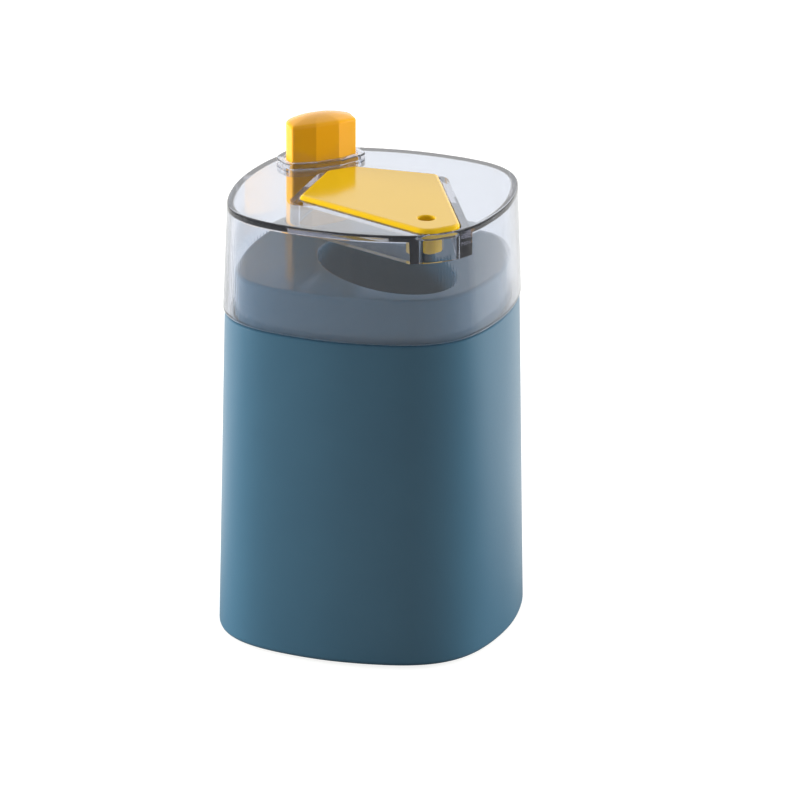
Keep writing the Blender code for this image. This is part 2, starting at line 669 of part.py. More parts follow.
def add_shelf(hopper):
    """The shelf on the tub's back wall that guides the rod and carries the spring, with its rib."""
    tub_back = WELL_CENTRE_U - WELL_HALF_LONG - WELL_WALL
    inside = tub_back + WELL_WALL + ROOT_SINK
    end = ROD_U - GUIDE_RADIUS
    corners = [(inside, SHELF_HALF_WIDE), (end, SHELF_HALF_WIDE),
               (end, -SHELF_HALF_WIDE), (inside, -SHELF_HALF_WIDE)]
    radii = [ROOT_SINK, GUIDE_RADIUS, GUIDE_RADIUS, ROOT_SINK]
    shelf = plate("shelf", rounded_polygon(corners, radii, 0), SHELF_Z, SHELF_TOP_Z, CUTTERS)
    join(hopper, stand(shelf))
    root = SHELF_Z + ROOT_SINK
    rib_outline = [(inside, root), (tub_back - SHELF_RIB_REACH, root), (inside, root - SHELF_RIB_DEPTH)]
    rib = plate("shelf_rib", rib_outline, -POST_RIB_THICK / 2, POST_RIB_THICK / 2, CUTTERS)
    join(hopper, across(rib, 0, 0))


# Push button, rod and return spring

def make_button():
    top = BUTTON_TOP_Z
    button = slab("push_button", button_outline, BUTTON_FOOT_Z, top, BUTTON_TOP_ROUND, PARTS, YELLOW)
    inside = button_outline(-BUTTON_WALL)
    hollow = plate("button_hollow", inside, BUTTON_FOOT_Z - OVERRUN, BUTTON_CEILING_Z, CUTTERS)
    cut(button, stand(hollow))
    stand(button)
    smooth(button, 20)


def make_push_rod():
    foot = ROD_PIN_Z - LEVER_END_RADIUS
    top = BUTTON_CEILING_Z - SEAT_GAP
    rod = cylinder("push_rod", ROD_RADIUS, foot, top, PARTS, WHITE)
    join(rod, stand(cylinder("rod_collar", COLLAR_RADIUS, COLLAR_FOOT_Z, COLLAR_TOP_Z, CUTTERS), ROD_U))
    flat_top = ROD_PIN_Z + LEVER_FORK_DEPTH
    flat_half = ROD_RADIUS / 2
    for side in (1, -1):
        flat = block("rod_flat_%d" % side, GUIDE_RADIUS, flat_half, foot - OVERRUN, flat_top, CUTTERS)
        cut(rod, stand(flat, ROD_U, side * (TONGUE_THICK / 2 + flat_half)))
    bore_radius = CROSS_PIN_RADIUS + RUN_GAP
    bore = cylinder("rod_pin_bore", bore_radius, -ROD_RADIUS, ROD_RADIUS, CUTTERS, facets=SMALL_FACETS)
    cut(rod, across(bore, ROD_U, ROD_PIN_Z))
    stand(rod, ROD_U)
    smooth(rod)


def make_spring():
    """A compression coil round the rod, from the shelf up to the rod's collar."""
    low = SHELF_TOP_Z + SEAT_GAP + SPRING_WIRE_RADIUS
    high = COLLAR_FOOT_Z - SEAT_GAP - SPRING_WIRE_RADIUS
    count = SPRING_TURNS * SPRING_POINTS_PER_TURN
    curve = bpy.data.curves.new("return_spring_coil", 'CURVE')
    curve.dimensions = '3D'
    curve.bevel_depth = SPRING_WIRE_RADIUS
    curve.bevel_resolution = 1
    curve.use_fill_caps = True
    spline = curve.splines.new('POLY')
    spline.points.add(count)
    for k, point in enumerate(spline.points):
        a = 2 * pi * k / SPRING_POINTS_PER_TURN
        z = low + (high - low) * k / count
        point.co = (SPRING_MEAN_RADIUS * cos(a), SPRING_MEAN_RADIUS * sin(a), z, 1)
    spring = curve_to_mesh("return_spring", curve, 0, PARTS, STEEL)
    pitch = (high - low) / SPRING_TURNS
    print("spring: least gap between turns %.2f mm" % ((pitch - 2 * SPRING_WIRE_RADIUS) / MM))
    stand(spring, ROD_U)
    smooth(spring, 80)


# Rocker, lifter and pins

def lever_outline():
    """Side view of the rocker about its pivot, level, with the long arm toward +X."""
    stretch = 1 / cos(REST_TILT)
    long_tip = LONG_ARM * stretch + LEVER_TRIM
    short_tip = -SHORT_ARM * stretch - LEVER_TRIM
    points = []
    for tip, start in ((long_tip, -90), (short_tip, 90)):
        for k in range(2 * CORNER_STEPS + 1):
            a = radians(start + 180 * k / (2 * CORNER_STEPS))
            points.append((tip + LEVER_END_RADIUS * cos(a), LEVER_END_RADIUS * sin(a)))
        for k in range(CORNER_STEPS):
            a = radians(start + 180 - HUB_ARC / 2 + HUB_ARC * k / (CORNER_STEPS - 1))
            points.append((LEVER_HUB_RADIUS * cos(a), LEVER_HUB_RADIUS * sin(a)))
    return points


def make_lever():
    lever = plate("rocker_lever", lever_outline(), -LEVER_HALF_WIDE, LEVER_HALF_WIDE, PARTS, WHITE)
    reach = LEVER_HALF_WIDE + OVERRUN
    bore = cylinder("lever_bore", PIVOT_PIN_RADIUS + RUN_GAP, -reach, reach, CUTTERS)
    cut(lever, across(bore, PIVOT_U, PIVOT_Z, -REST_TILT))
    stretch = 1 / cos(REST_TILT)
    slot_half = CROSS_PIN_RADIUS + RUN_GAP
    for name, arm in (("long", LONG_ARM), ("short", -SHORT_ARM)):
        side = arm / abs(arm)
        near = abs(arm) - SEAT_GAP
        far = abs(arm) * stretch + SEAT_GAP
        slot_corners = [(-slot_half, -slot_half), (far - near + slot_half, -slot_half),
                        (far - near + slot_half, slot_half), (-slot_half, slot_half)]
        outline = [(side * (x + near), y) for x, y in rounded_polygon(slot_corners, [slot_half] * 4, 0)]
        slot = plate("slot_" + name, outline, -reach, reach, CUTTERS)
        cut(lever, across(slot, PIVOT_U, PIVOT_Z, -REST_TILT))
        fork_far = far + LEVER_END_RADIUS + OVERRUN
        fork_near = near - LEVER_FORK_DEPTH
        fork_half = (fork_far - fork_near) / 2
        fork = block("fork_" + name, fork_half, LEVER_HUB_RADIUS, -TONGUE_GAP / 2, TONGUE_GAP / 2, CUTTERS)
        across(fork, PIVOT_U, PIVOT_Z, -REST_TILT)
        fork.matrix_world = fork.matrix_world @ Matrix.Translation((side * (fork_near + fork_half), 0, 0))
        cut(lever, fork)
    across(lever, PIVOT_U, PIVOT_Z, -REST_TILT)
    smooth(lever)


def make_pins():
    reach = LEVER_HALF_WIDE + SEAT_GAP + EAR_THICK
    pivot = cylinder("pivot_pin", PIVOT_PIN_RADIUS, -reach, reach, PARTS, STEEL)
    smooth(across(pivot, PIVOT_U, PIVOT_Z))
    for name, u, z in (("rod_pin", ROD_U, ROD_PIN_Z), ("lifter_cross_pin", LIFTER_U, LIFTER_REST_Z)):
        half = LEVER_HALF_WIDE
        pin = cylinder(name, CROSS_PIN_RADIUS, -half, half, PARTS, STEEL, facets=SMALL_FACETS)
        smooth(across(pin, u, z))


def make_lifter():
    """The pin that lifts one toothpick, with a flat foot between the rocker's prongs."""
    top = WELL_FLOOR_Z - SEAT_GAP
    foot_low = LIFTER_REST_Z - FOOT_HALF_TALL
    foot_high = LIFTER_REST_Z + FOOT_HALF_TALL
    lifter = cylinder("lifter_pin", LIFTER_RADIUS, LIFTER_REST_Z, top, PARTS, WHITE)
    foot = block("lifter_foot", FOOT_HALF_LONG, TONGUE_THICK / 2, foot_low, foot_high, CUTTERS)
    join(lifter, stand(foot, LIFTER_U))
    bore_radius = CROSS_PIN_RADIUS + RUN_GAP
    bore = cylinder("foot_bore", bore_radius, -TONGUE_THICK, TONGUE_THICK, CUTTERS, facets=SMALL_FACETS)
    cut(lifter, across(bore, LIFTER_U, LIFTER_REST_Z))
    stand(lifter, LIFTER_U)
    smooth(lifter)


# Lid and outlet plate

def make_lid():
    inner_foot = LID_FOOT_INSET + LID_WALL
    inner_top = LID_TOP_INSET + LID_WALL
    profile = [(inner_top, RIM_Z - LID_TOP_THICK), (inner_foot, LID_FOOT_Z), (LID_FOOT_INSET, LID_FOOT_Z)]
    profile += fillet((LID_TOP_INSET + LID_ROUND, RIM_Z - LID_ROUND), LID_ROUND, 180, 90)
    lid = sweep("lid_shell", rounded_square, profile, PARTS, CLEAR)
    bound_inset = LID_TOP_INSET + SEAT_GAP
    bound = sweep("pocket_bound", rounded_square, [(bound_inset, LID_FOOT_Z), (bound_inset, RIM_Z)], CUTTERS)
    top_root = RIM_Z - ROOT_SINK
    pocket = plate("pocket_wall", outlet_outline(SEAT_GAP + POCKET_WALL), POCKET_FOOT_Z, top_root, CUTTERS)
    stand(pocket)
    combine(pocket, bound, 'INTERSECT')
    sleeve = slab("button_sleeve", sleeve_outline, SLEEVE_FOOT_Z, LIP_Z, LIP_ROUND, CUTTERS)
    join(lid, pocket, stand(sleeve))
    recess_z = OUTLET_UNDER_Z - SEAT_GAP
    recess = plate("outlet_recess", outlet_outline(SEAT_GAP), recess_z, OUTLET_TOP_Z, CUTTERS)
    drop_outline = outlet_outline(SEAT_GAP - POCKET_LEDGE)
    drop = plate("pocket_drop", drop_outline, POCKET_FOOT_Z - OVERRUN, OUTLET_TOP_Z, CUTTERS)
    hole = plate("button_hole", button_outline(SLEEVE_GAP), SLEEVE_FOOT_Z - OVERRUN, LIP_Z + OVERRUN, CUTTERS)
    cut(lid, stand(recess), stand(drop), stand(hole))
    smooth(lid)


def make_outlet_plate():
    outlet = slab("outlet_plate", outlet_outline, OUTLET_UNDER_Z, OUTLET_TOP_Z, OUTLET_ROUND, PARTS, YELLOW)
    boss_foot = OUTLET_UNDER_Z - OUTLET_BOSS_LENGTH
    boss = cylinder("outlet_boss", OUTLET_BOSS_RADIUS, boss_foot, OUTLET_UNDER_Z + ROOT_SINK, CUTTERS)
    join(outlet, stand(boss, LIFTER_U))
    hole = cylinder("outlet_hole", OUTLET_HOLE_RADIUS, boss_foot - OVERRUN, OUTLET_TOP_Z + OVERRUN, CUTTERS)
    cut(outlet, stand(hole, LIFTER_U))
    slope = OUTLET_FUNNEL_GROWTH / OUTLET_FUNNEL_DEPTH
    wide = OUTLET_HOLE_RADIUS + OUTLET_FUNNEL_GROWTH + slope * OVERRUN
    narrow = OUTLET_HOLE_RADIUS - OUTLET_FUNNEL_GROWTH
    funnel_top = boss_foot + 2 * OUTLET_FUNNEL_DEPTH
    funnel = cone("outlet_funnel", wide, narrow, boss_foot - OVERRUN, funnel_top, CUTTERS)
    cut(outlet, stand(funnel, LIFTER_U))
    stand(outlet)
    smooth(outlet)


make_body_shell()
make_base_plate()
make_screws_and_pads()
make_hopper()
make_button()
make_push_rod()
make_spring()
make_lever()
make_pins()
make_lifter()
make_lid()
make_outlet_plate()
bpy.context.view_layer.update()
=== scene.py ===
"""Looks of the toothpick dispenser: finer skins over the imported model, their plastics, and a pale studio."""

import json
import math

import bpy
import numpy as np
from mathutils import Matrix, Vector


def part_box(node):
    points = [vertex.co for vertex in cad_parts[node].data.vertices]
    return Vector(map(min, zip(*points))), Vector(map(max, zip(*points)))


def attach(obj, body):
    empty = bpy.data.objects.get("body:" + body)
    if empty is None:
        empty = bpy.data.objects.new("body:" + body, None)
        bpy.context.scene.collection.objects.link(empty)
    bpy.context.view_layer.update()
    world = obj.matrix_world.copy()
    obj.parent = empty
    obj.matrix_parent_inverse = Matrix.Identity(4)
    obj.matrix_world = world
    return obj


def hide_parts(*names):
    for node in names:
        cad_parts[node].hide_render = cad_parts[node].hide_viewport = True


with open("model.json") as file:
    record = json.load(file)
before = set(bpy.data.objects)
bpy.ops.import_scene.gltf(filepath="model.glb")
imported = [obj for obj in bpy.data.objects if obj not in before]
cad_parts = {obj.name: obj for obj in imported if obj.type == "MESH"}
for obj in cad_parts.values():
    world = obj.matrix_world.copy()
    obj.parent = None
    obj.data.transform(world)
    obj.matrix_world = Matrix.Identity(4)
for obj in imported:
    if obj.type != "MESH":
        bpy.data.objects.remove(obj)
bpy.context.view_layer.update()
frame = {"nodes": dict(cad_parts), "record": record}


# Body shell: one moulding of satin grey-blue ABS, a tapering rounded square with bowed sides.
# The mould's fine spark texture leaves it matt, and its edges at the floor and the seam are rounded.
# Inside, one ledge carries the hopper's skirt and one stops the base plate.

MM = 0.001
HALF_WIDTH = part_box("body_shell")[1].x
FLOOR_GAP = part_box("body_shell")[0].z
SEAM_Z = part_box("body_shell")[1].z
BODY_TAPER = 1.4 * MM
BODY_WALL = 1.8 * MM
BASE_ROUND = 1.2 * MM
SHOULDER_ROUND = 0.5 * MM
BOW_4 = -0.0454
BOW_8 = 0.0055
SEAT_GAP = 0.3 * MM
LEDGE_WIDTH = 1.2 * MM
LEDGE_HEIGHT = 1.3 * MM
RIM_WALL = 2.4 * MM
SKIRT_LEDGE_DEPTH = 8.0 * MM
SQUARE_POINTS = 256
CREASE_DEGREES = 32
BLUE_DARK = "#395D72"
BLUE_LIGHT = "#3D6378"
SATIN_ROUGHNESS = 0.31
SPARK_GRAIN = 0.35 * MM
SPARK_DEPTH = 0.02 * MM
MOTTLE_LENGTH = 14 * MM
GLOSS_SPREAD = 0.15
DENT_STRENGTH = 0.5
PLASTIC_IOR = 1.5


def linear(code):
    """An sRGB hex colour as linear RGBA, each channel by the sRGB curve."""
    share = np.array([int(code[k:k + 2], 16) for k in (1, 3, 5)]) / 255
    curved = np.where(share > 0.04045, ((share + 0.055) / 1.055) ** 2.4, share / 12.92)
    return (*curved.tolist(), 1.0)


def put(tree, kind, inputs=None, **settings):
    """Adds a node of a kind with its settings. An input's value is a number, a colour or a socket to link."""
    made = tree.nodes.new(kind)
    for name, value in settings.items():
        setattr(made, name, value)
    for name, value in (inputs or {}).items():
        if isinstance(value, bpy.types.NodeSocket):
            tree.links.new(value, made.inputs[name])
        else:
            made.inputs[name].default_value = value
    return made


def new_material(name):
    """An empty material, its node tree and its output."""
    made = bpy.data.materials.new(name)
    made.use_nodes = True
    made.node_tree.nodes.clear()
    return made, made.node_tree, put(made.node_tree, "ShaderNodeOutputMaterial")


def moulded_plastic(name, dark, light, roughness, grain, depth, ior=PLASTIC_IOR):
    """A moulded plastic: its colour drifts between two shades, and its grain dents and roughens it.

    The drift is noise of MOTTLE_LENGTH, and the grain is noise of its own size. The dents are the grain times
    the depth. The roughness is the given one times 1 less GLOSS_SPREAD to 1 plus GLOSS_SPREAD.
    """
    made, tree, out = new_material(name)
    place = put(tree, "ShaderNodeTexCoord").outputs["Object"]
    drift = put(tree, "ShaderNodeTexNoise", {"Vector": place, "Scale": 1 / MOTTLE_LENGTH, "Detail": 3.0})
    fine = put(tree, "ShaderNodeTexNoise", {"Vector": place, "Scale": 1 / grain, "Detail": 2.0})
    shade = put(tree, "ShaderNodeMix",
                {"Factor": drift.outputs["Fac"], "A": linear(dark), "B": linear(light)}, data_type="RGBA")
    gloss = put(tree, "ShaderNodeMapRange",
                {"Value": fine.outputs["Fac"], "To Min": roughness * (1 - GLOSS_SPREAD),
                 "To Max": roughness * (1 + GLOSS_SPREAD)})
    dent = put(tree, "ShaderNodeBump",
               {"Height": fine.outputs["Fac"], "Distance": depth, "Strength": DENT_STRENGTH})
    skin = put(tree, "ShaderNodeBsdfPrincipled",
               {"Base Color": shade.outputs["Result"], "IOR": ior, "Roughness": gloss.outputs["Result"],
                "Normal": dent.outputs["Normal"]})
    tree.links.new(skin.outputs["BSDF"], out.inputs["Surface"])
    return made


def skin_faces(count, around, hoop):
    """Quads between neighbouring rings of a grid.

    A hoop joins the last ring to the first. Otherwise each end is capped with one face.
    """
    ring = np.arange(around)
    low = np.arange(count if hoop else count - 1)[:, None] * around
    high = (low + around) % (count * around)
    after = np.roll(ring, -1)
    quads = np.stack([low + ring, low + after, high + after, high + ring], -1).reshape(-1, 4).tolist()
    if not hoop:
        quads += [ring[::-1].tolist(), (ring + (count - 1) * around).tolist()]
    return quads


def piece(name, rings, finish=None, hoop=False, crease=CREASE_DEGREES):
    """A solid from a (rings, points, 3) array, smooth except where faces meet at over crease degrees."""
    mesh = bpy.data.meshes.new(name)
    mesh.from_pydata(rings.reshape(-1, 3), [], skin_faces(rings.shape[0], rings.shape[1], hoop))
    mesh.shade_smooth()
    mesh.set_sharp_from_angle(angle=math.radians(crease))
    made = bpy.data.objects.new(name, mesh)
    bpy.context.scene.collection.objects.link(made)
    if finish:
        mesh.materials.append(finish)
    return made


def square(inset):
    """The rounded square with bowed sides, moved in along its normal by an inset.

    Its radius at an angle a is a mean times 1 plus BOW_4 times cos 4a plus BOW_8 times cos 8a, and the mean
    makes it HALF_WIDTH on the axes. The normal is the curve's own tangent, turned a quarter.
    """
    a = np.linspace(0, 2 * np.pi, SQUARE_POINTS, endpoint=False)
    mean = HALF_WIDTH / (1 + BOW_4 + BOW_8)
    r = mean * (1 + BOW_4 * np.cos(4 * a) + BOW_8 * np.cos(8 * a))
    slope = -mean * (4 * BOW_4 * np.sin(4 * a) + 8 * BOW_8 * np.sin(8 * a))
    tangent = np.stack([slope * np.cos(a) - r * np.sin(a), slope * np.sin(a) + r * np.cos(a)], -1)
    tangent /= np.linalg.norm(tangent, axis=-1, keepdims=True)
    return np.stack([r * np.cos(a) - inset * tangent[:, 1], r * np.sin(a) + inset * tangent[:, 0]], -1)


def carried(outline, profile):
    """A profile of (inset, z) points carried round an outline that takes the inset."""
    rings = [np.pad(outline(inset), ((0, 0), (0, 1)), constant_values=z) for inset, z in profile]
    return np.stack(rings)


def arc(centre, radius, start, end, steps=6):
    """A round edge in the (inset, z) plane: centre plus radius times (cos, sin) from start to end degrees."""
    a = np.radians(np.linspace(start, end, steps + 1))
    return np.stack([centre[0] + radius * np.cos(a), centre[1] + radius * np.sin(a)], -1).tolist()


# ABS from a spark-eroded mould: its satin skin spreads the lamps into soft pale bands along the sides.
# The real grain is about 0.05 mm. It is drawn 0.35 mm wide, so that it shows.
blue_satin = moulded_plastic("abs_blue_spark_textured", BLUE_DARK, BLUE_LIGHT, SATIN_ROUGHNESS, SPARK_GRAIN,
                             SPARK_DEPTH)

mouth_inset = BODY_TAPER + BODY_WALL
neck_inset = mouth_inset + SEAT_GAP
ledge_inset = neck_inset + LEDGE_WIDTH
skirt_ledge_z = SEAM_Z - SKIRT_LEDGE_DEPTH
plate_ledge_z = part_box("hopper")[0].z
body_profile = arc((BASE_ROUND, FLOOR_GAP + BASE_ROUND), BASE_ROUND, 270, 180, steps=8)
body_profile += arc((BODY_TAPER + SHOULDER_ROUND, SEAM_Z - SHOULDER_ROUND), SHOULDER_ROUND, 180, 90, steps=5)
body_profile += [(mouth_inset, SEAM_Z), (mouth_inset, skirt_ledge_z), (ledge_inset, skirt_ledge_z)]
body_profile += [(ledge_inset, skirt_ledge_z - LEDGE_HEIGHT)]
body_profile += [(mouth_inset, skirt_ledge_z - LEDGE_HEIGHT - LEDGE_WIDTH - SEAT_GAP)]
body_profile += [(BODY_WALL, plate_ledge_z + LEDGE_HEIGHT + RIM_WALL)]
body_profile += [(RIM_WALL + LEDGE_WIDTH, plate_ledge_z + LEDGE_HEIGHT)]
body_profile += [(RIM_WALL + LEDGE_WIDTH, plate_ledge_z), (RIM_WALL, plate_ledge_z), (RIM_WALL, FLOOR_GAP)]
body = piece("body_skin", carried(square, body_profile), blue_satin, hoop=True)
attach(body, "base")
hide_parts("body_shell")


# Hopper: the inner moulding of the same ABS, polished on its deck, dropped into the body's mouth.
# Its deck has the oval well that the toothpicks stand in and the shaft that the button's skirt slides in.
# Below hang the rod's guide, a shelf for the spring and four posts with fins for the base's screws.

DECK_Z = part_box("hopper")[1].z
POST_FOOT_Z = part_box("hopper")[0].z
DECK_THICK = 1.8 * MM
NECK_WALL = 1.6 * MM
DECK_ROUND = 0.8 * MM
WELL_HALF_LONG = 19.3 * MM
WELL_HALF_WIDE = 11.8 * MM
WELL_CENTRE_U = 6.0 * MM
WELL_WALL = 1.4 * MM
WELL_FLOOR_Z = 22.0 * MM
WELL_FLOOR_RISE = 7.0 * MM
WELL_FLOOR_THICK = 1.5 * MM
WELL_MOUTH_ROUND = 0.4 * MM
BUTTON_CORNERS_MM = [(-19.9, 2.6), (-21.3, 7.3), (-25.2, 7.3), (-27.5, 4.0)]
BUTTON_RADII_MM = [0.6, 0.6, 3.5, 3.5]
LEAST_CORNER = 0.3 * MM
SHAFT_DEPTH = 9.0 * MM
SHAFT_WALL = 1.2 * MM
SHAFT_FLOOR_THICK = 1.5 * MM
ROD_U = -23.697 * MM
LIFTER_U = 22.497 * MM
RUN_GAP = 0.1 * MM
ROOT_SINK = 0.6 * MM
OVERRUN = 2.0 * MM
ROD_RADIUS = 2.0 * MM
LIFTER_RADIUS = 1.0 * MM
GUIDE_RADIUS = 3.6 * MM
GUIDE_FOOT_Z = 63.2 * MM
SHELF_Z = 40.0 * MM
SHELF_THICK = 2.2 * MM
SHELF_HALF_WIDE = 4.2 * MM
SHELF_RIB_DEPTH = 9.0 * MM
SHELF_RIB_REACH = 6.0 * MM
POST_PLACES = np.array([(21.75, 2.0), (-2.0, -21.75), (6.0, 21.55), (-21.55, -6.0)]) * MM
POST_RADIUS = 3.0 * MM
PILOT_RADIUS = 1.3 * MM
PILOT_TOP_Z = 14.7 * MM
FIN_THICK = 1.4 * MM
FIN_FOOT_Z = 34.0 * MM
DIAGONAL = math.radians(-45)
ALONG = np.array([math.cos(DIAGONAL), math.sin(DIAGONAL)])
ACROSS = np.array([-ALONG[1], ALONG[0]])
FLAT_AREA = (3 * MM) ** 2
POLISHED_ROUGHNESS = 0.11
POLISHED_GRAIN = 0.5 * MM
POLISHED_DEPTH = 0.004 * MM


def to_frame(points):
    """Turns (u, v) places of the diagonal plane to X and Y: u along the diagonal, v across it."""
    points = np.asarray(points)
    return points[..., :1] * ALONG + points[..., 1:] * ACROSS


def circle(place, radius, around=64):
    """A function that gives a circle about a place in X and Y, smaller by its inset."""
    a = np.linspace(0, 2 * np.pi, around, endpoint=False)
    return lambda inset: np.asarray(place) + (radius - inset) * np.stack([np.cos(a), np.sin(a)], -1)


def oval(inset, around=160):
    """The well's ellipse, with both half widths smaller by an inset."""
    a = np.linspace(0, 2 * np.pi, around, endpoint=False)
    return to_frame(np.stack([WELL_CENTRE_U + (WELL_HALF_LONG - inset) * np.cos(a),
                              (WELL_HALF_WIDE - inset) * np.sin(a)], -1))


def slanted(rings, drop):
    """Moves a tub's first ring to the sloping floor, which rises evenly from the nose to the back."""
    share = (WELL_CENTRE_U + WELL_HALF_LONG - rings[0, :, :2] @ ALONG) / (2 * WELL_HALF_LONG)
    rings[0, :, 2] = WELL_FLOOR_Z + WELL_FLOOR_RISE * share - drop
    return rings


def rounded_outline(half, radii, growth, steps=8):
    """A closed outline with round corners, grown outward by growth.

    The corners in mm for v above 0 are mirrored to v below 0. Each becomes an arc of its radius plus the
    growth, about a centre on its bisector, from the normal of the side before it to that of the side after.
    """
    corners = np.array(half + [(u, -v) for u, v in half[::-1]]) * MM
    radii = np.array(radii + radii[::-1]) * MM
    before = corners - np.roll(corners, 1, 0)
    before /= np.linalg.norm(before, axis=1, keepdims=True)
    after = np.roll(before, -1, 0)
    normal_in = before[:, ::-1] * (1, -1)
    normal_out = after[:, ::-1] * (1, -1)
    middle = normal_in + normal_out
    middle /= np.linalg.norm(middle, axis=1, keepdims=True)
    reach = np.maximum(radii + growth, LEAST_CORNER)
    centre = corners + middle * ((growth - reach) / (middle * normal_in).sum(1))[:, None]
    start = np.arctan2(normal_in[:, 1], normal_in[:, 0])
    turn = np.arctan2(before[:, 0] * after[:, 1] - before[:, 1] * after[:, 0], (before * after).sum(1))
    a = start[:, None] + turn[:, None] * np.linspace(0, 1, steps + 1)
    points = centre[:, None] + reach[:, None, None] * np.stack([np.cos(a), np.sin(a)], -1)
    return to_frame(points.reshape(-1, 2))


def button_outline(inset):
    """The button's eight-sided outline, smaller by its inset."""
    return rounded_outline(BUTTON_CORNERS_MM, BUTTON_RADII_MM, -inset)


def upright(name, outline, low, high, inset=0.0):
    """A straight tool from low to high on an outline that takes an inset."""
    return piece(name, carried(outline, [(inset, low), (inset, high)]))


def slab(name, start, end, corners, half_thick):
    """A flat web between two places: four corners (share of the way, z), thickened across the way."""
    way = end - start
    flat = np.array([(*(start + way * share), z) for share, z in corners])
    side = np.array([-way[1], way[0], 0]) / np.linalg.norm(way) * half_thick
    return piece(name, np.stack([flat + side, flat - side]))


def shaped(made, tools, operation, crease=CREASE_DEGREES):
    """Joins or cuts a solid with tools, exactly, and keeps the result as its own mesh.

    Faces over FLAT_AREA are shaded flat, because smooth shading leaves streaks over a wide face.
    """
    for tool in tools:
        step = made.modifiers.new(operation.title(), "BOOLEAN")
        step.operation = operation
        step.object = tool
        step.solver = "EXACT"
    solid = made.evaluated_get(bpy.context.evaluated_depsgraph_get())
    mesh = bpy.data.meshes.new_from_object(solid)
    made.modifiers.clear()
    made.data = mesh
    mesh.shade_smooth()
    mesh.set_sharp_from_angle(angle=math.radians(crease))
    for face in mesh.polygons:
        face.use_smooth = face.area < FLAT_AREA
    for tool in tools:
        bpy.data.objects.remove(tool)
    return made


# The same ABS from a polished part of the mould: the deck mirrors the button and the pale lid above it.
# Polish marks are finer than a pixel, so they are drawn as shallow waves 0.5 mm wide.
blue_polished = moulded_plastic("abs_blue_polished", BLUE_DARK, BLUE_LIGHT, POLISHED_ROUGHNESS,
                                POLISHED_GRAIN, POLISHED_DEPTH)

skirt_foot_z = skirt_ledge_z + SEAT_GAP
root_z = DECK_Z - DECK_ROUND
neck_profile = [(neck_inset + NECK_WALL, DECK_Z - DECK_THICK), (neck_inset + NECK_WALL, skirt_foot_z)]
neck_profile += [(neck_inset, skirt_foot_z)]
neck_profile += arc((neck_inset + DECK_ROUND, DECK_Z - DECK_ROUND), DECK_ROUND, 180, 90, steps=8)
hopper = piece("hopper_skin", carried(square, neck_profile), blue_polished)

tub = piece("tub", slanted(carried(oval, [(-WELL_WALL, 0), (-WELL_WALL, root_z)]), WELL_FLOOR_THICK))
shaft_floor_z = DECK_Z - SHAFT_DEPTH
shaft = upright("shaft", button_outline, shaft_floor_z - SHAFT_FLOOR_THICK, root_z, -SEAT_GAP - SHAFT_WALL)
shaped(shaft, [upright("bound", square, SHELF_Z, DECK_Z, neck_inset + ROOT_SINK)], "INTERSECT")
rod_place = to_frame((ROD_U, 0))
lifter_place = to_frame((LIFTER_U, 0))
guide = upright("guide", circle(rod_place, GUIDE_RADIUS), GUIDE_FOOT_Z, shaft_floor_z - ROOT_SINK)

well_back_u = WELL_CENTRE_U - WELL_HALF_LONG
shelf_root = to_frame((well_back_u + ROOT_SINK, 0))
shelf_end = to_frame((ROD_U - GUIDE_RADIUS, 0))
shelf_box = [(0, SHELF_Z), (1, SHELF_Z), (1, SHELF_Z + SHELF_THICK), (0, SHELF_Z + SHELF_THICK)]
shelf = slab("shelf", shelf_root, shelf_end, shelf_box, SHELF_HALF_WIDE)
rib_root_z = SHELF_Z + ROOT_SINK
rib_end = to_frame((well_back_u - WELL_WALL - SHELF_RIB_REACH, 0))
rib_corners = [(0, rib_root_z - SHELF_RIB_DEPTH), (1, rib_root_z), (0, rib_root_z)]
rib = slab("rib", shelf_root, rib_end, rib_corners, FIN_THICK / 2)

well_middle = to_frame((WELL_CENTRE_U, 0))
fin_box = [(0, FIN_FOOT_Z), (1, FIN_FOOT_Z), (1, root_z), (0, root_z)]
posts = []
for post_place in POST_PLACES:
    posts.append(upright("post", circle(post_place, POST_RADIUS), POST_FOOT_Z, root_z))
    toward = (post_place - well_middle) / np.linalg.norm(post_place - well_middle)
    reach = 1 / np.hypot(toward @ ALONG / WELL_HALF_LONG, toward @ ACROSS / WELL_HALF_WIDE)
    posts.append(slab("fin", well_middle + toward * reach, post_place, fin_box, FIN_THICK / 2))
shaped(hopper, [tub, shaft, guide, shelf, rib, *posts], "UNION")

well_profile = [(0, 0)]
well_profile += arc((-WELL_MOUTH_ROUND, DECK_Z - WELL_MOUTH_ROUND), WELL_MOUTH_ROUND, 0, 90, steps=5)
well_profile += [(-WELL_MOUTH_ROUND, DECK_Z + OVERRUN)]
well = piece("well", slanted(carried(oval, well_profile), 0))
shaft_room = upright("shaft_room", button_outline, shaft_floor_z, DECK_Z + OVERRUN, -SEAT_GAP)
rod_bore = upright("rod_bore", circle(rod_place, ROD_RADIUS + RUN_GAP), SHELF_Z - OVERRUN, DECK_Z)
lifter_bore = upright("lifter_bore", circle(lifter_place, LIFTER_RADIUS + RUN_GAP),
                      WELL_FLOOR_Z - WELL_FLOOR_THICK - OVERRUN, WELL_FLOOR_Z + OVERRUN)
pilots = [upright("pilot", circle(post_place, PILOT_RADIUS), POST_FOOT_Z - OVERRUN, PILOT_TOP_Z)
          for post_place in POST_PLACES]
shaped(hopper, [well, shaft_room, rod_bore, lifter_bore, *pilots], "DIFFERENCE")
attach(hopper, "base")
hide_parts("hopper")


# Push button: a hollow cap of gloss amber-yellow ABS with bevelled corners and a softly domed top.
# Its skirt slides in the lid's lipped hole and the hopper's shaft, and the push rod stands under its ceiling.

